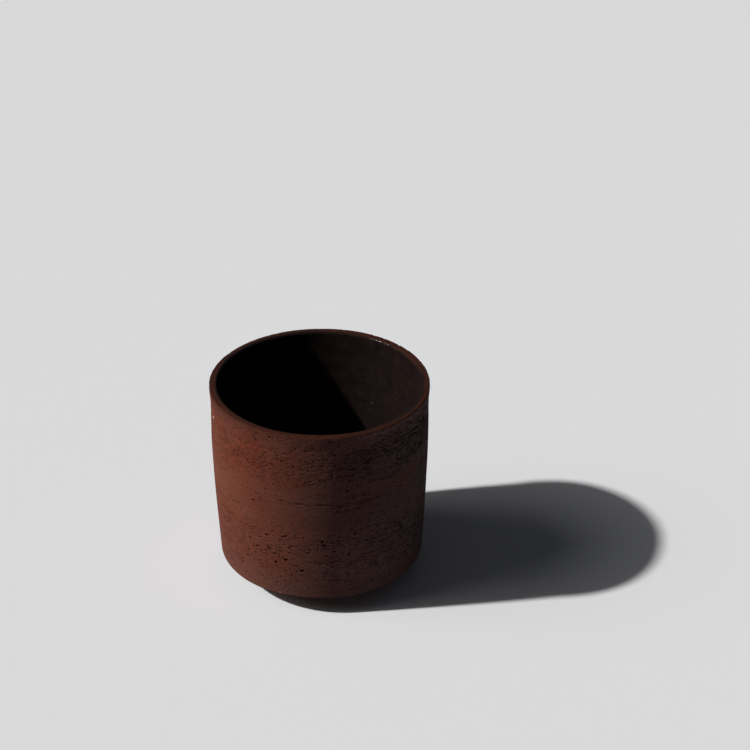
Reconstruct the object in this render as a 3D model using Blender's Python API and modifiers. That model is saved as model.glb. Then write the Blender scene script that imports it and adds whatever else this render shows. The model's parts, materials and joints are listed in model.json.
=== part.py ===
"""Stoneware tumbler: a thrown and turned clay body on a recessed foot ring, lined with a dark glaze."""

import math

import bpy

MM = 0.001

# Clay body, outside
RIM_HEIGHT = 79.0 * MM
RIM_RADIUS = 41.0 * MM
RIM_OUTER_ROUND = 0.6 * MM
RIM_INNER_ROUND = 1.0 * MM
RIM_WIDTH = 1.8 * MM
LIP_FLARE = 0.4 * MM
LIP_START_HEIGHT = 71.5 * MM
BELLY_HEIGHT = 57.0 * MM
HEEL_RADIUS = 38.5 * MM
HEEL_HEIGHT = 8.7 * MM
HEEL_ROUND = 1.3 * MM
TAPER_POWER = 1.35

# Underside and foot ring
FOOT_RADIUS = 25.5 * MM
FOOT_WIDTH = 4.8 * MM
FOOT_EDGE_ROUND = 0.8 * MM
FOOT_ROOT_ROUND = 1.2 * MM
UNDERSIDE_DROP = 1.3 * MM
RECESS_DEPTH = 5.2 * MM
RECESS_ROUND = 1.4 * MM
RECESS_DOME = 0.4 * MM

# Clay body, inside
FLOOR_HEIGHT = 10.4 * MM
FLOOR_DISH = 0.4 * MM
FLOOR_CORNER_ROUND = 11.0 * MM
INNER_FOOT_RADIUS = 36.4 * MM

# Glaze lining
GLAZE_THICKNESS = 0.4 * MM
GLAZE_GAP = 0.3 * MM
GLAZE_LIP_DEGREES = 32.0
GLAZE_EDGE_ROUND = 0.15 * MM

# Facets
TURN_STEPS = 72
WALL_LEVELS = 9
LIP_LEVELS = 4
INNER_LEVELS = 3

CLAY_COLOUR = (0.116, 0.036, 0.022, 1.0)
CLAY_ROUGHNESS = 0.9
GLAZE_COLOUR = (0.014, 0.009, 0.008, 1.0)
GLAZE_ROUGHNESS = 0.4


def smooth_rise(share):
    """An S-shaped rise from 0 to 1 with level ends."""
    share = min(1.0, max(0.0, share))
    return share * share * (3.0 - 2.0 * share)


def arc(centre, radius, start_degrees, end_degrees, count):
    """Points (radius, height) on a round stretch of a profile, both ends included."""
    points = []
    for i in range(count + 1):
        angle = math.radians(start_degrees + (end_degrees - start_degrees) * i / count)
        points.append((centre[0] + radius * math.cos(angle), centre[1] + radius * math.sin(angle)))
    return points


def wall_radius(height):
    """Outside radius of the wall: upright in its upper half, softly tapered below, with a faint lip."""
    belly_radius = RIM_RADIUS - LIP_FLARE
    fall = max(0.0, (BELLY_HEIGHT - height) / (BELLY_HEIGHT - HEEL_HEIGHT))
    taper = (belly_radius - HEEL_RADIUS) * fall**TAPER_POWER
    lip_top = RIM_HEIGHT - RIM_OUTER_ROUND
    lip = LIP_FLARE * smooth_rise((height - LIP_START_HEIGHT) / (lip_top - LIP_START_HEIGHT))
    return belly_radius - taper + lip


def outer_wall():
    """The wall from the rim's outer edge down to the heel."""
    lip_top = RIM_HEIGHT - RIM_OUTER_ROUND
    heights = [lip_top + (LIP_START_HEIGHT - lip_top) * i / LIP_LEVELS for i in range(LIP_LEVELS)]
    span = LIP_START_HEIGHT - HEEL_HEIGHT
    heights += [LIP_START_HEIGHT - span * i / WALL_LEVELS for i in range(WALL_LEVELS)]
    return [(wall_radius(height), height) for height in heights]


def underside():
    """The heel, the shadow gap under it, the foot ring and the recess inside the ring, out to in."""
    heel_turn = arc((HEEL_RADIUS - HEEL_ROUND, HEEL_HEIGHT), HEEL_ROUND, 0, -85, 5)
    gap_top = HEEL_HEIGHT - HEEL_ROUND - UNDERSIDE_DROP
    foot_root = arc((FOOT_RADIUS + FOOT_ROOT_ROUND, gap_top - FOOT_ROOT_ROUND), FOOT_ROOT_ROUND, 85, 180, 4)
    outer_edge = arc((FOOT_RADIUS - FOOT_EDGE_ROUND, FOOT_EDGE_ROUND), FOOT_EDGE_ROUND, 0, -90, 4)
    ring_inside = FOOT_RADIUS - FOOT_WIDTH
    inner_edge = arc((ring_inside + FOOT_EDGE_ROUND, FOOT_EDGE_ROUND), FOOT_EDGE_ROUND, -90, -180, 4)
    recess_corner = (ring_inside - RECESS_ROUND, RECESS_DEPTH - RECESS_ROUND)
    recess_turn = arc(recess_corner, RECESS_ROUND, 0, 90, 4)
    middle = [(recess_corner[0] / 2, RECESS_DEPTH + RECESS_DOME * 0.75), (0.0, RECESS_DEPTH + RECESS_DOME)]
    return heel_turn + foot_root + outer_edge + inner_edge + recess_turn + middle


def inner_radius(height):
    """Inside radius of the clay wall above the rounded floor corner."""
    corner_top = FLOOR_HEIGHT + FLOOR_CORNER_ROUND
    rim_inside = RIM_RADIUS - RIM_WIDTH
    share = (height - corner_top) / (RIM_HEIGHT - RIM_INNER_ROUND - corner_top)
    return INNER_FOOT_RADIUS + (rim_inside - INNER_FOOT_RADIUS) * share


def inner_line():
    """The inside of the clay from the middle of the floor up to where the rim starts to round over."""
    corner = (INNER_FOOT_RADIUS - FLOOR_CORNER_ROUND, FLOOR_HEIGHT + FLOOR_CORNER_ROUND)
    floor = [(0.0, FLOOR_HEIGHT - FLOOR_DISH), (corner[0] / 2, FLOOR_HEIGHT - FLOOR_DISH * 0.75)]
    turn = arc(corner, FLOOR_CORNER_ROUND, -90, 0, 7)
    rise = RIM_HEIGHT - RIM_INNER_ROUND - corner[1]
    heights = [corner[1] + rise * i / INNER_LEVELS for i in range(1, INNER_LEVELS)]
    return floor + turn + [(inner_radius(height), height) for height in heights]


def inner_lip(turn_degrees, count):
    """The inner edge of the rim, rounded over from the wall towards the top."""
    centre = (RIM_RADIUS - RIM_WIDTH + RIM_INNER_ROUND, RIM_HEIGHT - RIM_INNER_ROUND)
    return arc(centre, RIM_INNER_ROUND, 180, 180 - turn_degrees, count)


def outer_lip():
    """The outer edge of the rim, from its flat top to just above the wall."""
    centre = (RIM_RADIUS - RIM_OUTER_ROUND, RIM_HEIGHT - RIM_OUTER_ROUND)
    return arc(centre, RIM_OUTER_ROUND, 90, 30, 2)


def moved_inwards(line, distance):
    """A profile line shifted square to itself, towards the drink."""
    shifted = []
    for i, point in enumerate(line):
        before = line[max(0, i - 1)]
        after = line[min(len(line) - 1, i + 1)]
        run = (after[0] - before[0], after[1] - before[1])
        length = math.hypot(*run)
        radius = max(0.0, point[0] - distance * run[1] / length)
        shifted.append((radius, point[1] + distance * run[0] / length))
    shifted[0] = (0.0, shifted[0][1])
    return shifted


def clear_scene():
    for obj in list(bpy.data.objects):
        bpy.data.objects.remove(obj, do_unlink=True)


def material(name, colour, roughness):
    made = bpy.data.materials.new(name)
    made.use_nodes = True
    shader = made.node_tree.nodes["Principled BSDF"]
    shader.inputs["Base Color"].default_value = colour
    shader.inputs["Roughness"].default_value = roughness
    shader.inputs["Metallic"].default_value = 0.0
    made.diffuse_color = colour
    return made


def turned(name, line, collection, axis, finish):
    """An object turned about Z from a profile line of (radius, height) points."""
    mesh = bpy.data.meshes.new(name)
    points = [(radius, 0.0, height) for radius, height in line]
    mesh.from_pydata(points, [(i, i + 1) for i in range(len(points) - 1)], [])
    obj = bpy.data.objects.new(name, mesh)
    collection.objects.link(obj)
    obj.parent = axis
    mesh.materials.append(finish)
    screw = obj.modifiers.new("turn", "SCREW")
    screw.axis = "Z"
    screw.angle = math.tau
    screw.steps = TURN_STEPS
    screw.render_steps = TURN_STEPS
    screw.use_merge_vertices = True
    screw.merge_threshold = 0.01 * MM
    screw.use_smooth_shade = True
    return obj


def clay_body(collection, axis):
    """Wall, floor and foot ring: one piece of clay, thrown and then turned on the wheel."""
    line = inner_line() + inner_lip(90, 4) + outer_lip() + outer_wall() + underside()
    finish = material("bare_clay", CLAY_COLOUR, CLAY_ROUGHNESS)
    return turned("clay_body", line, collection, axis, finish)


def glaze_lining(collection, axis):
    """The coat of glaze over the inside, a shell that ends in a softened edge on the inner lip."""
    line = moved_inwards(inner_line() + inner_lip(GLAZE_LIP_DEGREES, 2), GLAZE_GAP)
    finish = material("dark_glaze", GLAZE_COLOUR, GLAZE_ROUGHNESS)
    lining = turned("glaze_lining", line, collection, axis, finish)
    shell = lining.modifiers.new("coat", "SOLIDIFY")
    shell.thickness = GLAZE_THICKNESS
    shell.offset = 1.0
    shell.use_even_offset = True
    edge = lining.modifiers.new("soft_edge", "BEVEL")
    edge.width = GLAZE_EDGE_ROUND
    edge.segments = 2
    edge.limit_method = "ANGLE"
    edge.angle_limit = math.radians(60)
    return lining


def main():
    clear_scene()
    collection = bpy.data.collections.new("stoneware_tumbler")
    bpy.context.scene.collection.children.link(collection)
    axis = bpy.data.objects.new("turning_axis", None)
    collection.objects.link(axis)
    clay_body(collection, axis)
    glaze_lining(collection, axis)


main()
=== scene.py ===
import json
import math
import random

import bpy
import numpy as np
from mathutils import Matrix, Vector, noise

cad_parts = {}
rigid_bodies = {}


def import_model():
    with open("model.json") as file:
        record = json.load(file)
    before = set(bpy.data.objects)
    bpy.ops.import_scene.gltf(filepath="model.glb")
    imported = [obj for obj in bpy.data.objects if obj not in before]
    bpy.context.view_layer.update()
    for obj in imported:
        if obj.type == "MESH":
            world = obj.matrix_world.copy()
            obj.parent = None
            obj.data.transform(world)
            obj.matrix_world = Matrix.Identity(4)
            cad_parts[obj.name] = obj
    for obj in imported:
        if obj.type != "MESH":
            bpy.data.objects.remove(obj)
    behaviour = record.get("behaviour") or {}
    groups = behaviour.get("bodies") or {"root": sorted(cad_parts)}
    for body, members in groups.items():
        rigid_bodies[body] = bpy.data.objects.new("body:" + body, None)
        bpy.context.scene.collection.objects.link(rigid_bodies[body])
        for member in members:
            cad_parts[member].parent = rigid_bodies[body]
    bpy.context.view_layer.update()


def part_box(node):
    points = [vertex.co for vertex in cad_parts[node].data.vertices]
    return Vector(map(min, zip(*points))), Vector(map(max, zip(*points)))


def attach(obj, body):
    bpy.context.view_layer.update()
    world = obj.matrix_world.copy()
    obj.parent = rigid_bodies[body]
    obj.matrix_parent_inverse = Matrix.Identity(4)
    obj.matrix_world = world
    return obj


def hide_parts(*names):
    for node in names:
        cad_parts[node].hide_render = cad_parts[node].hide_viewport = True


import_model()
mm = 0.001
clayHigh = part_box("clay_body")[1]
rimRadius = clayHigh.x
rimHeight = clayHigh.z
print("frame: cup", round(rimRadius * 2 / mm, 1), "mm across,", round(rimHeight / mm, 1), "mm high")


# Tools for turning and marking

mergeGap = 0.002 * mm  # closer points of a turned piece become one
noiseFall = 0.8  # how fast the octaves weaken
noiseStep = 2.0  # how much finer each one is


def smoothStep(low, high, value):
    share = np.clip((value - low) / (high - low), 0.0, 1.0)
    return share * share * (3.0 - 2.0 * share)


def between(rise, fall, value):
    # 1 on a span with a soft start and a soft end
    return smoothStep(*rise, value) * smoothStep(*fall, value)


def arc(centre, radius, startDegrees, endDegrees, count):
    points = []
    for i in range(count + 1):
        turn = math.radians(startDegrees + (endDegrees - startDegrees) * i / count)
        points.append((centre[0] + radius * math.cos(turn), centre[1] + radius * math.sin(turn)))
    return points


def evenLine(start, end, step):
    # points between two ends, without the ends
    count = max(1, round(math.hypot(end[0] - start[0], end[1] - start[1]) / step))
    shares = [i / count for i in range(1, count)]
    return [(start[0] + (end[0] - start[0]) * s, start[1] + (end[1] - start[1]) * s) for s in shares]


def turnSection(name, section, steps):
    # a plane merged to one point, pulled along the section and spun like clay on the wheel
    bpy.ops.object.select_all(action="DESELECT")
    bpy.ops.mesh.primitive_plane_add(size=mm, location=(0, 0, 0))
    piece = bpy.context.object
    piece.name = name
    piece.data.name = name
    bpy.ops.object.mode_set(mode="EDIT")
    bpy.ops.mesh.select_mode(type="VERT")
    bpy.ops.mesh.select_all(action="SELECT")
    bpy.ops.mesh.merge(type="CENTER")
    bpy.ops.transform.translate(value=(section[0][0], 0, section[0][1]))
    for here, there in zip(section, section[1:]):
        pull = (there[0] - here[0], 0, there[1] - here[1])
        bpy.ops.mesh.extrude_region_move(TRANSFORM_OT_translate={"value": pull})
    bpy.ops.mesh.select_all(action="SELECT")
    bpy.ops.mesh.spin(steps=steps, angle=math.tau, center=(0, 0, 0), axis=(0, 0, 1))
    bpy.ops.mesh.select_all(action="SELECT")
    bpy.ops.mesh.remove_doubles(threshold=mergeGap)
    bpy.ops.mesh.normals_make_consistent(inside=False)
    bpy.ops.mesh.select_mode(type="FACE")
    bpy.ops.mesh.select_all(action="DESELECT")
    bpy.ops.object.mode_set(mode="OBJECT")
    bpy.ops.object.shade_smooth()
    return piece


def readPoints(piece):
    places = np.empty(len(piece.data.vertices) * 3)
    piece.data.vertices.foreach_get("co", places)
    return places.reshape(-1, 3)


def writePoints(piece, places):
    piece.data.vertices.foreach_set("co", places.ravel())
    piece.data.update()


def around(places):
    # angle from the front, to the right, in radians
    return np.arctan2(places[:, 0], -places[:, 1])


def setRadii(places, angles, radii):
    places[:, 0] = np.sin(angles) * radii
    places[:, 1] = -np.cos(angles) * radii


def angleGap(angles, angle):
    return (angles - angle + math.pi) % math.tau - math.pi


def facing(side, angles):
    # a side is its middle in degrees, then in radians how far round it ends and how far it is full
    middle, ended, full = side
    return smoothStep(ended, full, np.abs(angleGap(angles, math.radians(middle))))


def noiseAt(places, stretch, octaves):
    scaled = places * np.array(stretch)
    return np.array([noise.fractal(place, noiseFall, noiseStep, octaves) for place in scaled.tolist()])


def countTriangles(piece):
    piece.data.calc_loop_triangles()
    return len(piece.data.loop_triangles)


def giveShare(piece, name, values):
    layer = piece.data.attributes.new(name, "FLOAT", "POINT")
    layer.data.foreach_set("value", np.asarray(values, dtype=np.float32))


# Clay body: wall, lip, heel and foot ring

clay = {
    "rimWidth": 2.45 * mm,
    "outerRound": 0.36 * mm,
    "innerRound": 0.65 * mm,
    "lipFlare": 0.4 * mm,
    "lipStart": 71.5 * mm,
    "bellyHeight": 57.0 * mm,
    "heelRadius": 38.6 * mm,
    "heelHeight": 8.35 * mm,
    "heelRound": 1.3 * mm,
    "taperPower": 1.35,
    "footRadius": 25.5 * mm,
    "footWidth": 4.8 * mm,
    "footEdge": 0.8 * mm,
    "footRoot": 1.2 * mm,
    "undersideDrop": 1.3 * mm,
    "recessDepth": 5.2 * mm,
    "recessRound": 1.4 * mm,
    "recessDome": 0.4 * mm,
    "floorHeight": 10.7 * mm,
    "floorRound": 11.0 * mm,
    "innerFoot": 36.1 * mm,
    # spacing of the points
    "turnSteps": 224,
    "wallStep": 0.5 * mm,
    "floorStep": 12.0 * mm,
    "innerStep": 20.0 * mm,
    "undersideStep": 1.4 * mm,
    "recessStep": 3.0 * mm,
    # the trimmed edge is not quite level: lower at the front right, higher on the left
    "rimDrop": 0.05,  # mm, as the next two
    "rimDip": 0.42,
    "rimLift": 0.2,
    "dipSpan": ((-0.2, 0.56), (2.1, 1.2)),  # radians from the front
    "liftSide": (-63.0254, 1.0, 0.3),
    "rimWaves": [(0.03, 3, 0.4), (0.02, 7, 1.9)],  # height in mm, count round the cup, phase
    "swingReach": 9.0 * mm,
    "edgeWaver": 0.13 * mm,
    "edgeMiddle": 0.1,
    "edgeStretch": (330, 330, 200),
    "edgeReach": (1.6 * mm, 0.3 * mm),  # below the rim
    # slow wobble of the thrown wall, fuller on the left, and the tool's spiral
    "swell": 0.15 * mm,
    "wobble": [(0.06 * mm, 2, 0.7, 0), (0.05 * mm, 3, 2.1, 40)],  # size, count round, phase, turn with height
    "fullness": 0.22 * mm,
    "fullSpan": ((8.0 * mm, 40.0 * mm), (76.0 * mm, 52.0 * mm)),
    "fullSide": (-90, 1.4, 0.4),
    "ridgePitch": 3.4 * mm,
    "ridgeHeight": 0.012 * mm,
    "ridgeSway": 1.5,
    "skinHeight": 0.02 * mm,
    "skinStretch": (90, 90, 700),
    # which points are wall: how far in from its face
    "wallDepth": 0.3 * mm,
    "outerShare": 0.75,
    "wallSlack": 0.01 * mm,
}


def rimSwing(angles, heights):
    dip = between(*clay["dipSpan"], angles)
    lift = facing(clay["liftSide"], angles)
    waves = sum(size * np.sin(count * angles + phase) for size, count, phase in clay["rimWaves"])
    swing = mm * (clay["rimLift"] * lift - clay["rimDip"] * dip - clay["rimDrop"] + waves)
    return swing * smoothStep(rimHeight - clay["swingReach"], rimHeight, heights)


def wallRadius(height):
    straight = rimRadius - clay["lipFlare"]
    fall = np.maximum(0.0, (clay["bellyHeight"] - height) / (clay["bellyHeight"] - clay["heelHeight"]))
    taper = (straight - clay["heelRadius"]) * fall ** clay["taperPower"]
    lip = clay["lipFlare"] * smoothStep(clay["lipStart"], rimHeight - clay["outerRound"], height)
    return straight - taper + lip


def innerLines():
    # centre of the floor corner, radius inside the lip, centre of the inner lip
    corner = (clay["innerFoot"] - clay["floorRound"], clay["floorHeight"] + clay["floorRound"])
    lipInside = rimRadius - clay["rimWidth"]
    lipCentre = (lipInside + clay["innerRound"], rimHeight - clay["innerRound"])
    return corner, lipInside, lipCentre


def claySection():
    corner, lipInside, lipCentre = innerLines()
    section = [(0.0, clay["floorHeight"])]
    section += evenLine(section[0], (corner[0], clay["floorHeight"]), clay["floorStep"])
    section += arc(corner, clay["floorRound"], -90, 0, 6)
    section += evenLine(section[-1], (lipInside, lipCentre[1]), clay["innerStep"])
    section += arc(lipCentre, clay["innerRound"], 180, 90, 7)
    outerCentre = (rimRadius - clay["outerRound"], rimHeight - clay["outerRound"])
    section += arc(outerCentre, clay["outerRound"], 90, 12, 5)
    levels = round((outerCentre[1] - clay["heelHeight"]) / clay["wallStep"])
    for i in range(levels):
        height = outerCentre[1] + (clay["heelHeight"] - outerCentre[1]) * i / levels
        section.append((float(wallRadius(height)), height))
    return section + underside()


def underside():
    ringInside = clay["footRadius"] - clay["footWidth"]
    gapTop = clay["heelHeight"] - clay["heelRound"] - clay["undersideDrop"]
    rootCentre = (clay["footRadius"] + clay["footRoot"], gapTop - clay["footRoot"])
    recess = (ringInside - clay["recessRound"], clay["recessDepth"] - clay["recessRound"])
    edge = clay["footEdge"]
    line = arc((clay["heelRadius"] - clay["heelRound"], clay["heelHeight"]), clay["heelRound"], 0, -85, 6)
    root = arc(rootCentre, clay["footRoot"], 85, 180, 4)
    line += evenLine(line[-1], root[0], clay["undersideStep"]) + root
    line += arc((clay["footRadius"] - edge, edge), edge, 0, -90, 4)
    line += arc((ringInside + edge, edge), edge, -90, -180, 4)
    line += arc(recess, clay["recessRound"], 0, 90, 4)
    middle = (0.0, clay["recessDepth"] + clay["recessDome"])
    return line + evenLine(line[-1], middle, clay["recessStep"]) + [middle]


# Marks of the turning tool in the wall: angles from the front in degrees, sizes in mm
tool = {
    "seed": 27,
    "placedPits": [  # angle, height, width
        (-36, 47.5, 1.2), (-48, 65.5, 1.2), (-46, 66.3, 0.8), (-50, 64.8, 0.8), (-46, 64, 0.9),
        (-61, 60.7, 0.9), (-39, 64.1, 1), (-31, 67, 0.9), (-25, 77, 0.9), (-33, 62.2, 0.8),
        (-17, 71.3, 0.9), (-9, 69, 0.7), (-6, 68.4, 0.7), (-16, 62.5, 0.8), (-29, 33.7, 1.2),
        (-19, 34.7, 1.3), (-17.4, 35.2, 1.1), (-28, 28.2, 1.3), (-27, 27.6, 1), (-43, 20.4, 1),
        (-24, 26.2, 0.9), (-18, 24.3, 1.4), (-24, 22.2, 1.2), (-9, 20.2, 1.5), (-24, 12.9, 1),
        (-36, 35.5, 0.9), (-59, 13.1, 1), (2, 33.9, 1.2), (3, 32.2, 1.3), (8, 29, 1.1),
        (16, 27.2, 1.1), (15, 55.5, 1.1), (10, 46.9, 1), (33, 36.7, 0.9), (35, 29.3, 1),
        (26, 31.9, 1), (-88, 56, 0.7), (-90, 53, 0.6), (-87, 49, 0.8), (-91, 46.5, 0.6),
        (-86, 42, 0.7), (-89, 31, 0.7), (-47, 34.3, 0.7), (-25, 40.1, 0.7), (-25, 36.4, 0.7),
        (-32, 32, 0.7), (-40, 29.3, 0.8), (-33, 25.6, 0.8), (-22, 26, 0.8), (-15, 17.6, 0.8),
        (-42, 10.5, 0.8), (-23, 77.4, 0.7), (-6.5, 59.6, 0.7), (-4, 60.1, 0.7), (-2.5, 59.2, 0.6),
        (-4.5, 58.7, 0.6),
    ],
    "chips": [  # angle, height, width, along the outer edge of the rim
        (-88, 78.7, 1), (-122, 78.7, 1), (104, 78.7, 0.8), (113, 78.8, 1.1), (123, 78.8, 0.8),
        (126, 78.8, 0.6), (133, 78.8, 0.9), (144, 78.8, 0.6), (150, 78.8, 0.8), (168, 78.8, 0.6),
        (-150, 78.8, 0.7),
    ],
    "pitBands": [  # height, spread, how many all round, least and greatest width
        (66, 5, 60, 0.5, 0.9), (33, 3.5, 40, 0.5, 1.1), (25, 4.5, 40, 0.5, 1.2),
        (46, 10, 10, 0.5, 0.8), (13, 3, 14, 0.5, 0.9),
    ],
    "dashBands": [  # height, spread, how many all round, least and greatest length
        (65, 6, 45, 0.9, 3.5), (28, 8, 40, 0.9, 3), (50, 3, 6, 1, 4),
    ],
    "pitClusters": [  # angle, height, spread of each, how many, least and greatest width
        (-60, 66, 8, 2.6, 26, 0.4, 0.75), (-38, 65, 9, 2.6, 16, 0.4, 0.75),
        (-62, 75, 14, 1.2, 12, 0.35, 0.6), (-30, 74.5, 14, 1.4, 10, 0.35, 0.6),
        (-60, 33, 7, 4, 12, 0.4, 0.7), (-48, 22, 12, 4, 18, 0.4, 0.75),
    ],
    "dashClusters": [  # angle, height, spread of each, how many, least and greatest length
        (12, 74.3, 13, 1.3, 16, 0.8, 2.4), (4, 67, 14, 2.4, 12, 0.8, 2.2),
        (30, 68, 14, 4, 12, 0.8, 2.6), (20, 49.6, 9, 2.6, 13, 0.7, 2.4), (30, 40, 12, 5, 9, 0.7, 2.4),
    ],
    "clearOfHeel": 1.0,
    "clearOfRim": 2.0,
    "clusterRise": 0.6,  # clusters come this much closer to the rim
    # pits and dashes: ranges of each size, as shares of half the width or in mm
    "pitLong": (1.0, 1.35),
    "pitTall": (0.7, 1.0),
    "pitDepth": (0.9, 1.4),
    "coarsePit": 0.65,  # wider pits get the finest faces
    "dashTall": (0.14, 0.26),
    "dashDepth": (0.12, 0.3),
    "ragged": [(0.15, 2, 1.0), (0.12, 3, 2.3), (0.08, 5, 3.7)],  # size, count round, share of the phase
    "hollowEdge": (1.0, 0.45),
    # where the painted shade of a mark ends
    "paintedShadeEdge": (1.08, 0.6),
    "burrPlace": 1.15,
    "burrWidth": 0.16,
    "burrHeight": 0.12,
    "drags": [  # from angle, to angle, height, climb, depth
        (-23, 17, 50.4, -0.9, 0.28), (18, 34, 49.7, 0.5, 0.18), (-39, -25, 63.2, 1.2, 0.3),
        (-6, 12, 24, 0.2, 0.22), (2, 14, 16.2, 0, 0.20), (14, 27, 22.7, 0.5, 0.18),
        (24, 48, 57, 0.8, 0.22), (-56, -46, 42.5, 0.2, 0.14), (-62, -52, 35.5, -0.3, 0.16),
        (-78, -61, 24.4, 1.6, 0.14), (-76, -63, 20.6, 1.4, 0.12), (-71, -58, 20, 1.2, 0.12),
        (-66, -57, 30.6, 0.3, 0.10),
    ],
    "hiddenDrags": {"count": 14, "start": (60, 310), "length": (8, 34), "height": (14, 72),
                    "climb": (-0.8, 0.8), "depth": (0.12, 0.26)},
    "dragTall": 0.26,
    "dragWander": ((0.26, 9), (0.14, 31)),  # size, pace along the drag
    "dragSwell": (0.4, 23),
    "dragBreaks": (0.32, 37, 11),
    "dragSpan": ((0.0, 0.12), (1.0, 0.88)),  # shares along the drag
    # painted shade along a drag
    "dragPaintedShade": 0.85,
    # finer faces: level and face size in metres, and how far round a mark they reach
    "refineLevels": ((1, 0.55 * mm), (2, 0.3 * mm)),
    "refineReach": 1.35,
    "refineDrag": 0.35,
    "refineEnds": 0.02,
    "refineDepth": 0.6,
    "refineRim": 0.7,
    "refineTorn": 0.6,
    "mostTorn": 70,
    # bands: height, half width, share on the left, share on the right
    "torn": {"stretch": (60, 60, 130), "bands": [
        (66, 10, 0.14, 1), (74, 9, 0.05, 0.8), (27, 15, 0.12, 0.85), (48, 12, 0.03, 0.6),
    ]},
    "pitted": {"stretch": (80, 80, 110), "bands": [
        (64, 11, 1, 0.6), (75, 6, 0.7, 0.4), (24, 19, 0.95, 0.7), (48, 9, 0.12, 0.35),
    ]},
    "ruddy": {"stretch": (70, 70, 120), "bands": [
        (65, 12, 1, 0.3), (27, 17, 0.3, 0.1),
    ]},
    # painted shade: cool grey on the right, the shaded side, and low round the heel
    "paintedShadeGrey": {"stretch": (30, 30, 40), "patchiness": 0.4, "bands": [
        (45, 100, 0, 1.3), (6, 26, 0.2, 1.9),
    ]},
    "bandEdge": (1.0, 0.45),
    "patchEdge": (-0.4, 0.6),
    "bandTop": (0.2, 0.8),
    # where the painted cool shade lies: the shaded side, and low round the heel
    "paintedShadeSide": (70, 2.0, 0.95),
    "paintedShadeHeel": (24, 11),
    # torn skin
    "tornLift": 0.1,
    "ripDepth": 0.5,
    "ripStretch": (300, 300, 1900),
    "ripEdge": (-0.05, 0.5),
    "ripTop": (0.5, 1.8),
    "pressReach": (1.3, 0.6),
    "paleSpecks": [  # angle, height, width, paleness
        (-73.5, 70.3, 1, 1), (-22.3, 8.5, 0.5, 0.4), (118, 52, 0.7, 0.7), (-160, 38, 0.6, 0.7),
    ],
    "speckEdge": (0.5, 0.3),
}


def makePit(angle, height, width, rng):
    half = width / 2 * mm
    return {
        "angle": math.radians(angle),
        "height": height * mm,
        "halfLong": half * rng.uniform(*tool["pitLong"]),
        "halfTall": half * rng.uniform(*tool["pitTall"]),
        "depth": half * rng.uniform(*tool["pitDepth"]),
        "phase": rng.uniform(0, math.tau),
        "level": 2 if width > tool["coarsePit"] else 1,
    }


def makeDash(angle, height, length, rng):
    return {
        "angle": math.radians(angle),
        "height": height * mm,
        "halfLong": length / 2 * mm,
        "halfTall": rng.uniform(*tool["dashTall"]) * mm,
        "depth": rng.uniform(*tool["dashDepth"]) * mm,
        "phase": rng.uniform(0, math.tau),
        "level": 2,
    }


def scatterMarks():
    rng = random.Random(tool["seed"])
    marks = [makePit(*paintedPitShade, rng) for paintedPitShade in tool["placedPits"] + tool["chips"]]
    lowest = clay["heelHeight"] / mm + tool["clearOfHeel"]
    highest = rimHeight / mm - tool["clearOfRim"]
    for make, bands in ((makePit, "pitBands"), (makeDash, "dashBands")):
        for middle, spread, count, least, greatest in tool[bands]:
            for i in range(count):
                height = min(highest, max(lowest, rng.gauss(middle, spread)))
                size = least + (greatest - least) * rng.random() ** 2
                marks.append(make(rng.uniform(-180, 180), height, size, rng))
    highest += tool["clusterRise"]
    for make, clusters in ((makePit, "pitClusters"), (makeDash, "dashClusters")):
        for angle, middle, aside, above, count, least, greatest in tool[clusters]:
            for i in range(count):
                height = min(highest, max(lowest, rng.gauss(middle, above)))
                size = least + (greatest - least) * rng.random()
                marks.append(make(rng.gauss(angle, aside), height, size, rng))
    return marks


def scatterDrags():
    rng = random.Random(tool["seed"] + 1)
    drags = list(tool["drags"])
    hidden = tool["hiddenDrags"]
    for i in range(hidden["count"]):
        start = rng.uniform(*hidden["start"])
        end = start + rng.uniform(*hidden["length"])
        drags.append((start, end, *[rng.uniform(*hidden[name]) for name in ("height", "climb", "depth")]))
    return drags


def dragPath(drag, angles):
    # share along the drag, and the height of its wandering line there
    start, end, height, climb = drag[:4]
    middle = math.radians((start + end) / 2)
    share = angleGap(angles, middle) / math.radians(end - start) + 0.5
    (wide, slow), (fine, quick) = tool["dragWander"]
    wander = wide * np.sin(share * slow + start) + fine * np.sin(share * quick + end)
    return share, (height + climb * share + wander) * mm


def nearMarks(angles, heights, marks, drags, level, cell):
    near = np.zeros(len(angles), bool)
    reach = tool["refineReach"]
    ends = tool["refineEnds"]
    for mark in marks:
        if mark["level"] >= level:
            along = np.abs(angleGap(angles, mark["angle"])) * rimRadius
            up = np.abs(heights - mark["height"])
            near |= (along < mark["halfLong"] * reach + cell) & (up < mark["halfTall"] * reach + cell * 0.5)
    for drag in drags:
        share, line = dragPath(drag, angles)
        up = np.abs(heights - line)
        near |= (share > -ends) & (share < 1 + ends) & (up < tool["refineDrag"] * mm + cell * 0.5)
    return near


def tornSide(angles):
    # 1 on the side that the tool tore most, 0 on the other
    return (0.5 + 0.5 * np.cos(angleGap(angles, math.radians(tool["mostTorn"])))) ** 2


def bandShare(places, kind):
    # how badly the tool or the fire marked the wall: in bands, changing towards the right, and patchy
    heights = places[:, 2] / mm
    side = tornSide(around(places))
    share = np.zeros(len(places))
    for height, half, left, right in kind["bands"]:
        band = smoothStep(*tool["bandEdge"], np.abs(heights - height) / half)
        share = np.maximum(share, band * (left + (right - left) * side))
    patchy = smoothStep(*tool["patchEdge"], 0.5 + noiseAt(places, kind["stretch"], 2))
    patchy = 1.0 - kind.get("patchiness", 1.0) * (1.0 - patchy)
    return share * patchy * smoothStep(*tool["bandTop"], rimHeight / mm - heights)


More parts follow.
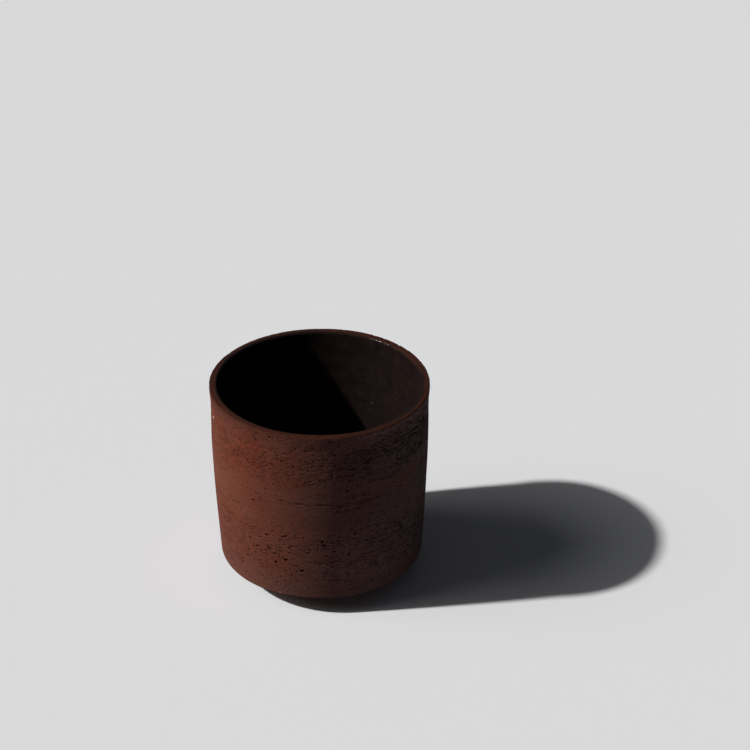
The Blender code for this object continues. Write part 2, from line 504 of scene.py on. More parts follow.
def refineWall(piece, marks, drags):
    # finer faces only where the wall is marked
    for level, cell in tool["refineLevels"]:
        centres = np.empty(len(piece.data.polygons) * 3)
        piece.data.polygons.foreach_get("center", centres)
        centres = centres.reshape(-1, 3)
        heights = centres[:, 2]
        radii = np.hypot(centres[:, 0], centres[:, 1])
        outside = radii > wallRadius(heights) - tool["refineDepth"] * mm
        outside &= heights > clay["heelHeight"]
        chosen = nearMarks(around(centres), heights, marks, drags, level, cell)
        if level == 1:
            chosen |= bandShare(centres, tool["torn"]) > tool["refineTorn"]
            chosen |= heights > rimHeight - tool["refineRim"] * mm
        piece.data.polygons.foreach_set("select", chosen & outside)
        bpy.ops.object.mode_set(mode="EDIT")
        bpy.ops.mesh.subdivide(number_cuts=1)
        bpy.ops.mesh.select_all(action="DESELECT")
        bpy.ops.object.mode_set(mode="OBJECT")


def pressMarks(marks, angles, heights, offset, paintedShade):
    # a ragged hollow with a burr on one side, and painted shade in it
    for mark in marks:
        along = angleGap(angles, mark["angle"]) * rimRadius
        up = heights - mark["height"]
        close = np.nonzero((np.abs(along) < 2 * mark["halfLong"]) & (np.abs(up) < 2 * mark["halfTall"]))[0]
        u = along[close] / mark["halfLong"]
        v = up[close] / mark["halfTall"]
        turn = np.arctan2(v, u)
        phase = mark["phase"]
        ragged = np.ones(len(close))
        for size, count, share in tool["ragged"]:
            ragged += size * np.sin(count * turn + share * phase)
        reach = np.hypot(u, v) / ragged
        burr = np.exp(-(((reach - tool["burrPlace"]) / tool["burrWidth"]) ** 2))
        burr *= 0.5 + 0.5 * np.cos(turn - phase)
        hollow = smoothStep(*tool["hollowEdge"], reach)
        offset[close] += mark["depth"] * (tool["burrHeight"] * burr - hollow)
        paintedShade[close] = np.maximum(paintedShade[close], smoothStep(*tool["paintedShadeEdge"], reach))


def pressDrags(drags, angles, heights, offset, paintedShade):
    # a broken groove that swells and thins along its line, with painted shade in it
    swell, pace = tool["dragSwell"]
    breaks, quick, slow = tool["dragBreaks"]
    for drag in drags:
        share, line = dragPath(drag, angles)
        tall = tool["dragTall"] * mm * (1 + swell * np.sin(share * pace))
        ends = between(*tool["dragSpan"], share)
        broken = 1 - breaks + breaks * np.sin(share * quick + drag[0]) * np.sin(share * slow + drag[1])
        groove = ends * broken * np.exp(-(((heights - line) / tall) ** 2))
        offset -= drag[4] * mm * groove
        paintedShade[:] = np.maximum(paintedShade, tool["dragPaintedShade"] * groove)


def thrownWall(places, angles, heights):
    # slow wobble, the tool's spiral ridges and a fine streaky skin, none of them under the heel
    offset = np.full(len(places), clay["swell"])
    for size, count, phase, climb in clay["wobble"]:
        offset += size * np.sin(count * angles + phase + climb * heights)
    fuller = between(*clay["fullSpan"], heights)
    offset += clay["fullness"] * fuller * facing(clay["fullSide"], angles)
    spiral = math.tau * heights / clay["ridgePitch"] + angles
    offset += clay["ridgeHeight"] * np.sin(spiral + clay["ridgeSway"] * np.sin(2 * angles))
    offset += clay["skinHeight"] * noiseAt(places, clay["skinStretch"], 3)
    return offset * smoothStep(clay["heelHeight"] - clay["heelRound"], clay["heelHeight"], heights)


def shapeWall(piece, marks, drags):
    places = readPoints(piece)
    angles = around(places)
    heights = places[:, 2].copy()
    radii = np.hypot(places[:, 0], places[:, 1])
    below = rimHeight - heights
    onWall = radii > wallRadius(heights) - clay["wallDepth"]
    onWall &= heights > clay["heelHeight"] - clay["wallSlack"]
    onWall &= heights < rimHeight - clay["outerRound"]
    outer = radii > wallRadius(heights) - clay["outerShare"] * clay["rimWidth"]
    outer &= heights > clay["heelHeight"] - clay["heelRound"]
    radii[onWall] = wallRadius(heights[onWall])
    offset = thrownWall(places, angles, heights)
    torn = bandShare(places, tool["torn"]) * outer
    ripped = torn ** 2 * smoothStep(*tool["ripEdge"], noiseAt(places, tool["ripStretch"], 3))
    ripped *= smoothStep(*tool["ripTop"], below / mm)
    wallOnly = np.nonzero(outer)[0]
    pressed = offset[wallOnly]
    paintedShade = np.zeros(len(wallOnly))
    pressMarks(marks, angles[wallOnly], heights[wallOnly], pressed, paintedShade)
    pressDrags(drags, angles[wallOnly], heights[wallOnly], pressed, paintedShade)
    pressed += mm * (tool["tornLift"] * torn - tool["ripDepth"] * ripped)[wallOnly]
    # marks press into the outside only, never through to the inner lip
    reach = smoothStep(*tool["pressReach"], (wallRadius(heights) - radii)[wallOnly] / mm)
    offset[wallOnly] += (pressed - offset[wallOnly]) * reach
    # painted shade in the pressed pits and grooves
    paintedPitShade = np.zeros(len(places))
    paintedPitShade[wallOnly] = paintedShade * reach
    edge = smoothStep(*clay["edgeReach"], below)
    offset += clay["edgeWaver"] * edge * (noiseAt(places, clay["edgeStretch"], 2) - clay["edgeMiddle"])
    radii += offset * outer
    setRadii(places, angles, radii)
    places[:, 2] += rimSwing(angles, heights)
    writePoints(piece, places)
    for name, share in (("paintedPitShade", paintedPitShade), ("torn", torn), ("ripped", ripped)):
        giveShare(piece, name, share)
    toneWall(piece, places, angles, heights, radii, outer)


# Tones of the wall and rim, with spans of angles in radians from the front; most on the wall are painted
# light and shade
tones = {
    # amount, then the side that has it
    # pale is painted light on the left, dim painted shade in front, right painted light low on the right
    "pale": (0.13, (-100, 0.9, 0.1)),
    "dim": (0.22, (5, 1.0, 0.2)),
    "right": (0.12, (40, 1.0, 0.3)),
    # paler just under the rim on the right
    "paleUnderRim": (0.75, (56, 0.85, 0.3)),
    "darkLeft": (0.22, (-140, 0.95, 0.6)),
    "lowSpan": ((5.0 * mm, 19.0 * mm), (44.0 * mm, 26.0 * mm)),
    "lowLeft": 0.2,
    "lowTurn": (-0.05, 0.25),
    "paleUnderRimReach": 2.4 * mm,
    "darkRightSpan": ((0.0, 0.35), (1.55, 1.25)),
    "darkRight": 0.28,
    "paleRightSpan": ((1.45, 1.65), (2.6, 2.0)),
    "paleRight": 0.12,
    "nearRimReach": 2.6 * mm,
    "nearRimTorn": 1.3,
    # the rim begins this far below its top, or this far in from the wall
    "rimBelow": (0.4 * mm, 0.15 * mm),
    "rimInwards": (0.25 * mm, 0.6 * mm),
    "rimDeep": 2.0 * mm,
    "wornHeight": (0.5 * mm, 0.05 * mm),
}


def toneWall(piece, places, angles, heights, radii, outer):
    # shares that the finish reads at each point
    rim = rimShare(radii, heights)
    # painted shade, cool grey, on the shaded right side and round the heel
    paintedShadeSideShare = facing(tool["paintedShadeSide"], angles)
    paintedShadeSideShare = np.maximum(paintedShadeSideShare, smoothStep(*tool["paintedShadeHeel"], heights / mm))
    nearRim = np.exp((heights - rimHeight) / tones["nearRimReach"])
    nearRim *= 1 - tones["nearRimTorn"] * tornSide(angles)
    for name in ("pitted", "ruddy"):
        giveShare(piece, name, bandShare(places, tool[name]) * outer)
    giveShare(piece, "paintedShadeGrey", bandShare(places, tool["paintedShadeGrey"]) * paintedShadeSideShare * outer)
    giveShare(piece, "rim", rim)
    giveShare(piece, "nearRim", nearRim * outer)
    giveShare(piece, "paintedLightAndTone", paintedLightAndToneShare(angles, heights, rim))
    giveShare(piece, "speck", speckShare(angles, heights) * outer)
    giveShare(piece, "worn", smoothStep(*tones["wornHeight"], places[:, 2]))  # the foot, rubbed smooth


def toned(name, angles):
    amount, side = tones[name]
    return amount * facing(side, angles)


def paintedLightAndToneShare(angles, heights, rim):
    # painted light and shade: paler on the left, darker in front, paler low on the right; also paler under
    # the rim on the right
    low = between(*tones["lowSpan"], heights)
    low *= tones["lowLeft"] + (1.0 - tones["lowLeft"]) * smoothStep(*tones["lowTurn"], angles)
    paleUnderRim = toned("paleUnderRim", angles) * np.exp((heights - rimHeight) / tones["paleUnderRimReach"])
    wall = 1.0 + toned("pale", angles) + paleUnderRim
    wall += toned("right", angles) * low - toned("dim", angles) * (1.0 - low)
    # two stretches of the rim are darker and one is paler
    edge = 1.0 - toned("darkLeft", angles)
    edge -= tones["darkRight"] * between(*tones["darkRightSpan"], angles)
    edge += tones["paleRight"] * between(*tones["paleRightSpan"], angles)
    return wall + (edge - wall) * rim


def rimShare(radii, heights):
    below = rimHeight - heights
    inwards = smoothStep(*tones["rimInwards"], rimRadius - radii)
    return np.maximum(smoothStep(*tones["rimBelow"], below), inwards * (below < tones["rimDeep"]))


def speckShare(angles, heights):
    share = np.zeros(len(angles))
    for angle, height, width, paleness in tool["paleSpecks"]:
        away = np.hypot(angleGap(angles, math.radians(angle)) * rimRadius, heights - height * mm)
        share = np.maximum(share, paleness * smoothStep(*tool["speckEdge"], away / (width * mm)))
    return share


def makeClayBody():
    marks = scatterMarks()
    drags = scatterDrags()
    rng = random.Random(tool["seed"] + 2)
    specks = [makePit(*speck[:3], rng) for speck in tool["paleSpecks"]]
    piece = turnSection("clayBody", claySection(), clay["turnSteps"])
    refineWall(piece, marks + specks, drags)
    shapeWall(piece, marks, drags)
    print("clay body:", len(marks), "marks,", len(drags), "drags,", countTriangles(piece), "triangles")
    return piece


# Glaze lining: a thin satin coat that ends on the inner lip

glaze = {
    "thickness": 0.36 * mm,
    "lift": 0.02 * mm,
    "lipReach": 0.5 * mm,
    "lipThin": 0.15,  # share of the thickness on the lip
    "edgeThin": 0.03,  # share left at its edge
    "ringPitch": 6.5 * mm,
    "ringHeight": 0.05 * mm,
    "ringSway": 0.8,
    "ringStart": (4.0 * mm, 16.0 * mm),  # above the floor
    "ringEnd": (4.0 * mm, 12.0 * mm),  # below the rim
    "beads": [(148.3, 151.2), (142.6, 147.6), (137.2, 140.4)],  # from angle, to angle
    "beadSoft": 1.0,
    "turnSteps": 192,
    "wallStep": 0.6 * mm,
    "floorStep": 2.0 * mm,
    "lipSteps": 12,
    "thinSteps": 8,
    "edgeSteps": 4,
    # degrees round the lip where the glaze breaks to brown, more on stretches in radians from the front
    "breakTurn": 20,
    "breakRight": [(62, (0.1, 0.5)), (22, (0.7, 1.05))],
    "breakRightEnd": (2.12, 1.25),
    "breakBack": 45,
    "breakBackStart": (1.75, 2.3),
    "backGap": 1.1,
    "backGapSpan": ((1.75, 2.1), (3.1, 2.7)),
    "breakLeft": 82,
    "breakLeftSpan": ((-3.0, -2.6), (-1.6, -2.0)),
    "breakUneven": 25,
    "breakStretch": (160, 160, 0),
    "breakSoft": 14,
    "lipTurn": (2, 20),
}


def glazeCourse():
    # points on the clay under the glaze with the direction away from it, and the share of full thickness
    corner, lipInside, lipCentre = innerLines()
    course = [((0.0, clay["floorHeight"]), (0.0, 1.0), 1.0)]
    for place in evenLine(course[0][0], (corner[0], clay["floorHeight"]), glaze["floorStep"]):
        course.append((place, (0.0, 1.0), 1.0))
    for place in arc(corner, clay["floorRound"], -90, 0, 24):
        away = tuple((c - p) / clay["floorRound"] for c, p in zip(corner, place))
        course.append((place, away, 1.0))
    for place in evenLine((clay["innerFoot"], corner[1]), (lipInside, lipCentre[1]), glaze["wallStep"]):
        course.append((place, (-1.0, 0.0), 1.0))
    for i, place in enumerate(arc(lipCentre, clay["innerRound"], 180, 90, glaze["lipSteps"])):
        away = tuple((p - c) / clay["innerRound"] for c, p in zip(lipCentre, place))
        course.append((place, away, 1.0 - (1.0 - glaze["lipThin"]) * min(1.0, i / glaze["thinSteps"])))
    for i in range(1, glaze["edgeSteps"] + 1):
        share = i / glaze["edgeSteps"]
        place = (lipCentre[0] + glaze["lipReach"] * share, rimHeight)
        course.append((place, (0.0, 1.0), glaze["lipThin"] + (glaze["edgeThin"] - glaze["lipThin"]) * share))
    return course


def raised(place, away, height):
    return max(0.0, place[0] + away[0] * height), place[1] + away[1] * height


def glazeSection():
    course = glazeCourse()
    inside = []
    hidden = []
    for place, away, share in course:
        inside.append(raised(place, away, glaze["lift"] + glaze["thickness"] * share))
        hidden.insert(0, raised(place, away, glaze["lift"]))
    # a rounded edge between the two faces
    middle = ((inside[-1][0] + hidden[0][0]) / 2, (inside[-1][1] + hidden[0][1]) / 2)
    half = math.hypot(inside[-1][0] - hidden[0][0], inside[-1][1] - hidden[0][1]) / 2
    lean = math.degrees(math.atan2(inside[-1][1] - middle[1], inside[-1][0] - middle[0]))
    edge = arc(middle, half, lean, lean - 180, 6)[1:-1]
    # the hidden face keeps its points on the lip, every tenth on the wall and every third on the floor
    onLip = 12
    onFloor = -30
    return inside + edge + hidden[:onLip] + hidden[onLip:onFloor:10] + hidden[onFloor::3] + [hidden[-1]]


def beadShare(degrees):
    # short stretches of the lip where the glaze drew up into a glossy bead
    share = np.zeros(len(degrees))
    soft = glaze["beadSoft"]
    for start, end in glaze["beads"]:
        share = np.maximum(share, between((start - soft, start + soft), (end + soft, end - soft), degrees))
    return share


def lipBreaks(places, angles):
    # how many degrees round the lip the glaze breaks to brown
    right = sum(turn * smoothStep(*start, angles) for turn, start in glaze["breakRight"])
    right *= smoothStep(*glaze["breakRightEnd"], angles)
    back = glaze["breakBack"] * smoothStep(*glaze["breakBackStart"], np.abs(angles))
    back *= 1.0 - glaze["backGap"] * between(*glaze["backGapSpan"], angles)
    left = glaze["breakLeft"] * between(*glaze["breakLeftSpan"], angles)
    uneven = glaze["breakUneven"] * noiseAt(places, glaze["breakStretch"], 2)
    return glaze["breakTurn"] + right + np.maximum(back, left) + uneven


def makeGlazeLining():
    piece = turnSection("glazeLining", glazeSection(), glaze["turnSteps"])
    places = readPoints(piece)
    angles = around(places)
    radii = np.hypot(places[:, 0], places[:, 1])
    heights = places[:, 2].copy()
    # soft throwing rings under the glaze, none at the lip or on the floor
    inner = smoothStep(*glaze["ringStart"], heights - clay["floorHeight"])
    inner *= smoothStep(*glaze["ringEnd"], rimHeight - heights)
    rings = np.sin(math.tau * heights / glaze["ringPitch"] + angles + glaze["ringSway"] * np.sin(3 * angles))
    radii += glaze["ringHeight"] * inner * (rings - 1.0)
    setRadii(places, angles, radii)
    # how far round the lip each point lies
    lipRadius, lipHeight = innerLines()[2]
    lipTurn = np.degrees(np.arctan2(np.maximum(0.0, heights - lipHeight), lipRadius - radii))
    beyond = lipTurn - lipBreaks(places, angles)
    giveShare(piece, "thin", smoothStep(-glaze["breakSoft"], glaze["breakSoft"], beyond))
    giveShare(piece, "lip", smoothStep(*glaze["lipTurn"], lipTurn))
    giveShare(piece, "beaded", beadShare(np.degrees(angles)))
    places[:, 2] += rimSwing(angles, heights)
    writePoints(piece, places)
    print("glaze lining:", countTriangles(piece), "triangles")
    return piece


# Finishes

mixSockets = (0, 6, 7)  # a colour mix node's share and its two colours
mixResult = 2
hollowChance = (0.97, 1.03, 0.0, 1.0)  # a soft threshold
hollowFloor = 0.4  # flat share of a hollow
hollowDepth = (0.45, 1.0)


class Finish:
    # nodes of a material or of the world, added one after the other
    def __init__(self, owner):
        owner.use_nodes = True
        self.owner = owner
        self.tree = owner.node_tree
        self.shader = self.tree.nodes.get("Principled BSDF")
        self.coords = self.add("TexCoord").outputs["Object"]

    def add(self, kind):
        return self.tree.nodes.new("ShaderNode" + kind)

    def plug(self, socket, value):
        if isinstance(value, bpy.types.NodeSocket):
            self.tree.links.new(value, socket)
        else:
            socket.default_value = value

    def fill(self, node, inputs):
        for name, value in inputs.items():
            self.plug(node.inputs[name], value)
        return node

    def stretched(self, vector, stretch):
        return self.fill(self.add("Mapping"), {"Vector": vector, "Scale": stretch}).outputs["Vector"]

    def noise(self, stretch, detail, roughness=0.55):
        cloud = self.fill(self.add("TexNoise"), {"Scale": 1.0, "Detail": detail, "Roughness": roughness})
        self.plug(cloud.inputs["Vector"], self.stretched(self.coords, stretch))
        return cloud.outputs["Fac"]

    def shaken(self, scale, amount):
        # the piece's own coordinates, shaken so that no hollow has a clean outline
        cloud = self.fill(self.add("TexNoise"), {"Vector": self.coords, "Scale": scale, "Detail": 3.0})
        centred = self.vectors("SUBTRACT", cloud.outputs["Color"], (0.5, 0.5, 0.5))
        return self.vectors("MULTIPLY_ADD", centred.outputs["Vector"], amount, self.coords).outputs["Vector"]

    def hollows(self, vector, share, stretch, density, sizes):
        # one hollow in a cell of a net, in more of the cells where the share is higher
        cells = self.fill(self.add("TexVoronoi"), {"Vector": self.stretched(vector, stretch), "Scale": 1.0})
        parts = self.fill(self.add("SeparateColor"), {"Color": cells.outputs["Color"]})
        chance = self.maths("ADD", parts.outputs["Red"], self.spread(share, *density))
        there = self.ranged(chance, *hollowChance)
        size = self.spread(parts.outputs["Green"], *sizes)
        bowl = self.ranged(cells.outputs["Distance"], self.times(size, hollowFloor), size, 1.0, 0.0)
        depth = self.spread(parts.outputs["Blue"], *hollowDepth)
        return self.times(self.times(there, bowl), depth)

    def vectors(self, operation, *values):
        node = self.add("VectorMath")
        node.operation = operation
        for socket, value in zip(node.inputs, values):
            self.plug(socket, value)
        return node

    def share(self, name):
        # what giveShare wrote to the mesh
        node = self.add("Attribute")
        node.attribute_name = name
        return node.outputs["Fac"]

    def ranged(self, value, fromLow, fromHigh, toLow, toHigh):
        node = self.add("MapRange")
        node.interpolation_type = "SMOOTHSTEP"
        self.fill(node, {"Value": value, "From Min": fromLow, "From Max": fromHigh})
        self.fill(node, {"To Min": toLow, "To Max": toHigh})
        return node.outputs["Result"]

    def spread(self, share, low, high):
        return self.ranged(share, 0.0, 1.0, low, high)

    def maths(self, operation, first, second):
        node = self.add("Math")
        node.operation = operation
        self.plug(node.inputs[0], first)
        self.plug(node.inputs[1], second)
        return node.outputs["Value"]

    def times(self, first, second):
        return self.maths("MULTIPLY", first, second)

    def mixed(self, share, first, second, blend="MIX"):
        node = self.add("Mix")
        node.data_type = "RGBA"
        node.blend_type = blend
        for socket, value in zip(mixSockets, (share, first, second)):
            self.plug(node.inputs[socket], value)
        return node.outputs[mixResult]

    def shaded(self, colour, shade):
        grey = self.fill(self.add("CombineColor"), {"Red": shade, "Green": shade, "Blue": shade})
        return self.mixed(1.0, colour, grey.outputs["Color"], "MULTIPLY")

    def seen(self, elsewhere, direct):
        # one colour for the light that it gives, another for the camera
        return self.mixed(self.add("LightPath").outputs["Is Camera Ray"], elsewhere, direct)

    def bump(self, height, distance):
        node = self.fill(self.add("Bump"), {"Height": height, "Distance": distance, "Strength": 1.0})
        self.fill(self.shader, {"Normal": node.outputs["Normal"]})

    def wear(self, colour, roughness, specular):
        self.fill(self.shader, {"Base Color": colour, "Roughness": roughness, "Specular IOR Level": specular})


bareClayFinish = {
    "brown": (0.140, 0.0418, 0.0236, 1.0),
    "red": (0.136, 0.0285, 0.0130, 1.0),
    "dusty": (0.158, 0.0560, 0.0352, 1.0),
    # painted shade in hollows: dark, and dark red in shallow ones
    "paintedHollowShade": (0.016, 0.0042, 0.0024, 1.0),
    "paintedShallowShade": (0.040, 0.0085, 0.0042, 1.0),
    # painted shade: the cool grey of the shaded side
    "paintedShadeGrey": (0.104, 0.0550, 0.0475, 1.0),
    "rimBrown": (0.058, 0.0135, 0.0060, 1.0),
    "rimDark": (0.045, 0.0130, 0.0074, 1.0),
    "speckPale": (0.80, 0.70, 0.60, 1.0),
    # noises: stretch, detail, roughness
    "clusters": ((230, 230, 330), 2.0),
    "tears": ((300, 300, 2000), 5.0, 0.62),
    "streaks": ((40, 40, 1300), 4.0, 0.6),
    "patches": ((70, 70, 110), 4.0, 0.6),
    "clouds": ((28, 28, 60), 3.0),
    "grain": ((1900, 1900, 2300), 3.0, 0.6),
    "lumps": ((520, 520, 1800), 3.0, 0.6),
    # shaking: scale of the noise, greatest move
    "shake": (1500, (0.5 * mm, 0.5 * mm, 0.4 * mm)),
    "tornShake": (800, (1.6 * mm, 1.6 * mm, 0.6 * mm)),
    # hollows too small for the mesh: stretch, density on whole and on marked skin, range of sizes
    "pinholes": ((1350, 1350, 1500), (0.06, 1.0), (0.28, 0.58)),
    "pits": ((760, 760, 900), (0.02, 0.65), (0.22, 0.5)),
    "dashes": ((360, 360, 1350), (0.0, 0.8), (0.3, 0.6)),
    "scratches": ((150, 150, 2400), (0.1, 0.5), (0.25, 0.6)),
    "fissureStart": (0.80, 0.58),
    "fissureSoft": 0.07,
    # painted shade in each kind of hollow
    "paintedShadeShares": {"pinholes": 0.95, "pits": 0.85, "dashes": 0.75, "fissures": 0.65, "scratches": 0.65},
    "depth": {"pinholes": 0.10, "pits": 0.22, "dashes": 0.16, "fissures": 0.2, "scratches": 0.06},  # mm
    # ranges: from low, from high, to low, to high
    "clusterRange": (0.40, 0.58, 0.35, 1.0),
    "redPatches": (0.38, 0.66, 0.0, 0.5),
    "dustyClouds": (0.45, 0.7, 0.0, 0.35),
    "streakShade": (0.3, 0.7, 0.96, 1.04),
    "grainShade": (0.25, 0.75, 0.72, 1.28),
    # painted light and shade with the lumps of the torn skin
    "lumpPaintedLight": (0.28, 0.72, -1.0, 1.0),
    "nearRimShade": (-0.3, 1.0, 1.2, 0.55),
    "rimPatches": (0.4, 0.62, 0.0, 1.0),
    "rimGrain": (0.3, 0.7, 0.55, 1.4),
    "rimClear": (0.0, 0.5, 1.0, 0.0),
    "rimRelief": (0.0, 0.6, 1.0, 0.35),
    # from whole to torn skin
    "lumpPaintedLightAmount": (0.08, 0.42),
    "lumpDepth": (0.05, 0.22),
    "grainDepth": 0.08,
    "streakDepth": 0.015,
    "ruddyShare": 0.8,
    "paintedShadeGreyShare": 0.9,
    # shares of painted shade in the ripped skin and in the pressed marks
    "rippedShare": 0.6,
    "pitShare": 0.9,
    "wornShare": 0.4,
    "roughness": (0.92, 0.8),  # wall, rim
    "specular": 0.12,
    "sheen": 0.06,
    "sheenRoughness": 0.3,
    "sheenTint": (1.0, 0.97, 0.95, 1.0),
}


def bareClay():
    look = bareClayFinish
    made = Finish(bpy.data.materials.new("bareClay"))
    torn = made.share("torn")
    rim = made.share("rim")
    pitted = made.share("pitted")
    streaks, patches, clouds, grain, lumps = [
        made.noise(*look[name]) for name in ("streaks", "patches", "clouds", "grain", "lumps")
    ]
    shaken = made.shaken(*look["shake"])
    clusters = made.times(pitted, made.ranged(made.noise(*look["clusters"]), *look["clusterRange"]))
    start = made.spread(torn, *look["fissureStart"])
    end = made.maths("ADD", start, look["fissureSoft"])
    layers = {
        "pinholes": made.hollows(shaken, clusters, *look["pinholes"]),
        "pits": made.hollows(shaken, clusters, *look["pits"]),
        "dashes": made.hollows(made.shaken(*look["tornShake"]), torn, *look["dashes"]),
        "fissures": made.ranged(made.noise(*look["tears"]), start, end, 0.0, 1.0),
        "scratches": made.hollows(shaken, pitted, *look["scratches"]),
    }
    # painted shade in the hollows
    paintedShade = {name: made.times(layer, look["paintedShadeShares"][name]) for name, layer in layers.items()}
    # wall
    ruddy = made.times(made.share("ruddy"), look["ruddyShare"])
    paintedShadeGrey = made.times(made.share("paintedShadeGrey"), look["paintedShadeGreyShare"])
    redness = made.maths("ADD", made.ranged(patches, *look["redPatches"]), ruddy)
    colour = made.mixed(redness, look["brown"], look["red"])
    # painted shade: cool grey on the shaded side and the heel
    colour = made.mixed(paintedShadeGrey, colour, look["paintedShadeGrey"])
    colour = made.mixed(made.ranged(clouds, *look["dustyClouds"]), colour, look["dusty"])
    shade = made.times(made.ranged(streaks, *look["streakShade"]), made.ranged(grain, *look["grainShade"]))
    # painted light on the lumps of the torn skin and painted shade between them
    rise = made.times(made.ranged(lumps, *look["lumpPaintedLight"]), made.spread(torn, *look["lumpPaintedLightAmount"]))
    colour = made.shaded(colour, made.times(shade, made.maths("ADD", 1.0, rise)))
    colour = made.shaded(colour, made.ranged(made.share("nearRim"), *look["nearRimShade"]))
    # rim
    edge = made.mixed(made.ranged(patches, *look["rimPatches"]), look["rimBrown"], look["rimDark"])
    edge = made.shaded(edge, made.ranged(grain, *look["rimGrain"]))
    colour = made.mixed(rim, colour, edge)
    # painted light and shade on the wall, and the rim's tones
    colour = made.shaded(colour, made.share("paintedLightAndTone"))
    # painted shade in the hollows, which stays off the rim, then in the marks of the mesh
    hollow = made.times(made.share("ripped"), look["rippedShare"])
    for name in ("pits", "dashes", "fissures"):
        hollow = made.maths("MAXIMUM", hollow, paintedShade[name])
    clear = made.ranged(rim, *look["rimClear"])
    hollow = made.times(hollow, clear)
    shallow = made.maths("MAXIMUM", paintedShade["pinholes"], paintedShade["scratches"])
    colour = made.mixed(made.times(shallow, clear), colour, look["paintedShallowShade"])
    hollow = made.maths("MAXIMUM", hollow, made.times(made.share("paintedPitShade"), look["pitShare"]))
    colour = made.mixed(hollow, colour, look["paintedHollowShade"])
    colour = made.mixed(made.share("speck"), colour, look["speckPale"])
    colour = made.mixed(made.times(made.share("worn"), look["wornShare"]), colour, look["dusty"])
    relief = made.times(grain, look["grainDepth"])
    relief = made.maths("ADD", relief, made.times(streaks, look["streakDepth"]))
    relief = made.maths("ADD", relief, made.times(lumps, made.spread(torn, *look["lumpDepth"])))
    for name, layer in layers.items():
        relief = made.maths("SUBTRACT", relief, made.times(layer, look["depth"][name]))
    made.bump(made.times(relief, made.ranged(rim, *look["rimRelief"])), mm)
    made.wear(colour, made.spread(rim, *look["roughness"]), look["specular"])
    made.fill(made.shader, {"Sheen Weight": look["sheen"], "Sheen Roughness": look["sheenRoughness"]})
    made.fill(made.shader, {"Sheen Tint": look["sheenTint"]})
    return made.owner


darkGlazeFinish = {
    "deep": (0.0127, 0.0074, 0.0062, 1.0),
    "warm": (0.0158, 0.0088, 0.0073, 1.0),
    # painted shade on the lip rounding
    "lipPaintedShade": (0.002, 0.0011, 0.0009, 1.0),
    "thinBrown": (0.038, 0.0105, 0.0056, 1.0),
    "speckPale": (0.048, 0.038, 0.034, 1.0),
    "speckPlace": (19.55 * mm, 31.4 * mm, 51.15 * mm),
    "speckEdge": (0.3 * mm, 0.5 * mm, 1.0, 0.0),
    # noises: stretch, detail, roughness
    "clouds": ((90, 90, 120), 4.0),
    "skin": ((1100, 1100, 1300), 4.0, 0.6),
    "blotches": ((240, 240, 200), 3.0, 0.6),
    "grain": ((1900, 1900, 2300), 3.0, 0.6),
    "breaks": ((900, 900, 900), 2.0),
    # ranges: from low, from high, to low, to high
    "warmClouds": (0.38, 0.68, 0.0, 1.0),
    "skinShade": (0.25, 0.75, 0.86, 1.14),
    "blotchShade": (0.3, 0.7, 0.8, 1.2),
    "brownShade": (0.3, 0.7, 0.5, 1.45),
    "skinRoughness": (0.35, 0.65, 0.34, 0.5),
    "beadBreaks": (0.36, 0.5, 0.4, 1.0),
    "lipPaintedShadeShare": 0.6,
    "lipRoughness": (1.0, 0.14),  # plain, beaded
    "beadRelief": (1.0, 0.15),  # plain, beaded
    "thinRelief": (0.4, 3.0),  # thick, thin
    "bumpDepth": 0.03 * mm,
    "specular": 0.18,
}


def darkGlaze():
    look = darkGlazeFinish
    made = Finish(bpy.data.materials.new("darkGlaze"))
    skin = made.noise(*look["skin"])
    thin = made.share("thin")
    lip = made.share("lip")
    warmth = made.ranged(made.noise(*look["clouds"]), *look["warmClouds"])
    colour = made.mixed(warmth, look["deep"], look["warm"])
    colour = made.shaded(colour, made.ranged(skin, *look["skinShade"]))
    colour = made.shaded(colour, made.ranged(made.noise(*look["blotches"]), *look["blotchShade"]))
    # painted shade on the lip rounding
    colour = made.mixed(made.times(lip, look["lipPaintedShadeShare"]), colour, look["lipPaintedShade"])
    brown = made.shaded(look["thinBrown"], made.ranged(made.noise(*look["grain"]), *look["brownShade"]))
    colour = made.mixed(thin, colour, brown)
    away = made.vectors("DISTANCE", made.coords, look["speckPlace"]).outputs["Value"]
    colour = made.mixed(made.ranged(away, *look["speckEdge"]), colour, look["speckPale"])
    # glossy beads on a dull lip
    broken = made.ranged(made.noise(*look["breaks"]), *look["beadBreaks"])
    beads = made.times(made.share("beaded"), broken)
    dull = made.ranged(skin, *look["skinRoughness"])
    edge = made.spread(beads, *look["lipRoughness"])
    roughness = made.maths("ADD", dull, made.times(lip, made.maths("SUBTRACT", edge, dull)))
    relief = made.times(skin, made.spread(thin, *look["thinRelief"]))
    made.bump(made.times(relief, made.spread(beads, *look["beadRelief"])), look["bumpDepth"])
    made.wear(colour, roughness, look["specular"])
    return made.owner


# Studio: pale floor, one soft key from the left, a weak even fill

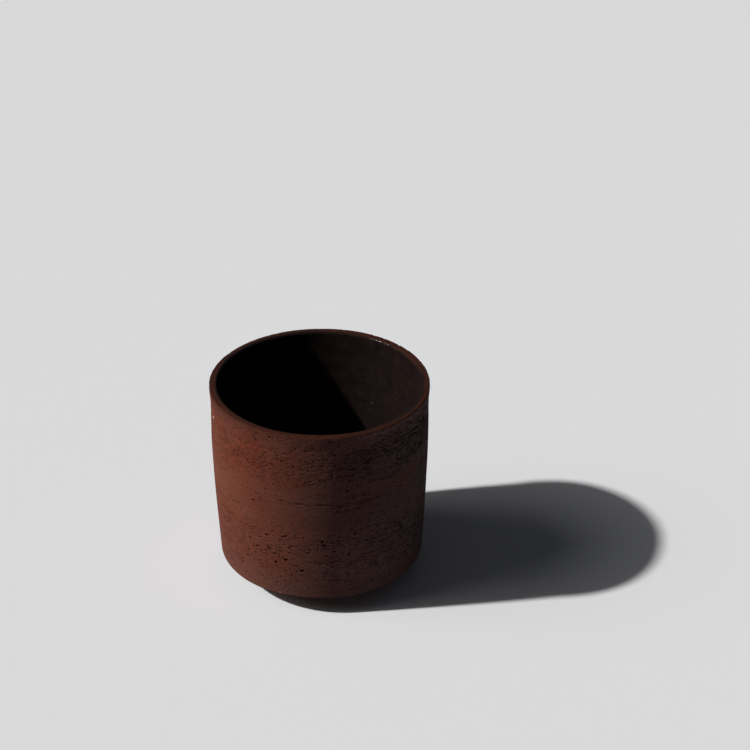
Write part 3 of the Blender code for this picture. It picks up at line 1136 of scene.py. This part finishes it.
studio = {
    "floorSize": 60.0,
    "floorColour": (0.835, 0.835, 0.84, 1.0),
    "floorBounce": (0.31, 0.33, 0.365, 1.0),
    "floorRoughness": 0.9,
    "floorSpecular": 0.1,
    "keyFrom": (-0.7575, -0.1211, 0.6415),
    "keyStrength": 3.5,
    "keySoftness": 2.2,
    "softFrom": (-0.7575, -0.0911, 0.6415),
    "softStrength": 0.45,
    "softSpread": 36,
    "lightDistance": 2.0,
    "fill": (0.0270, 0.0288, 0.0330, 1.0),
    "backdrop": (0.72, 0.72, 0.725, 1.0),
    "cameraPlace": (0.02067, -0.77725, 0.52494),
    "cameraTilt": 60.30,
    "lens": 115.43,
    "sensor": 36.0,
    "farthest": 200.0,
}


def layFloor():
    bpy.ops.object.select_all(action="DESELECT")
    bpy.ops.mesh.primitive_plane_add(size=studio["floorSize"], location=(0, 0, 0))
    floor = bpy.context.object
    floor.name = "floor"
    paint = Finish(bpy.data.materials.new("floorPaint"))
    colour = paint.seen(studio["floorBounce"], studio["floorColour"])
    paint.wear(colour, studio["floorRoughness"], studio["floorSpecular"])
    floor.data.materials.append(paint.owner)


def hangLight(name, comesFrom, strength, spread):
    direction = Vector(comesFrom).normalized()
    bpy.ops.object.light_add(type="SUN", location=direction * studio["lightDistance"])
    light = bpy.context.object
    light.name = name
    light.data.energy = strength
    light.data.angle = math.radians(spread)
    light.rotation_euler = (math.acos(direction.z), 0.0, math.atan2(direction.x, -direction.y))


def lightScene():
    hangLight("keyLight", studio["keyFrom"], studio["keyStrength"], studio["keySoftness"])
    hangLight("softLight", studio["softFrom"], studio["softStrength"], studio["softSpread"])
    world = bpy.data.worlds.new("studioFill")
    bpy.context.scene.world = world
    sky = Finish(world)
    sky.fill(sky.tree.nodes["Background"], {"Color": sky.seen(studio["fill"], studio["backdrop"])})


def placeCamera():
    bpy.ops.object.camera_add(location=studio["cameraPlace"])
    camera = bpy.context.object
    camera.rotation_euler = (math.radians(studio["cameraTilt"]), 0.0, 0.0)
    camera.data.lens = studio["lens"]
    camera.data.sensor_width = studio["sensor"]
    camera.data.clip_end = studio["farthest"]
    bpy.context.scene.camera = camera


def dress(piece, material, node):
    piece.data.materials.clear()
    piece.data.materials.append(material)
    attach(piece, "root")
    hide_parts(node)


bpy.context.scene.view_settings.view_transform = "Standard"
placeCamera()
lightScene()
layFloor()
print("studio: camera, key, fill and floor")
dress(makeClayBody(), bareClay(), "clay_body")
dress(makeGlazeLining(), darkGlaze(), "glaze_lining")
print("finishes: clay and glaze dressed")
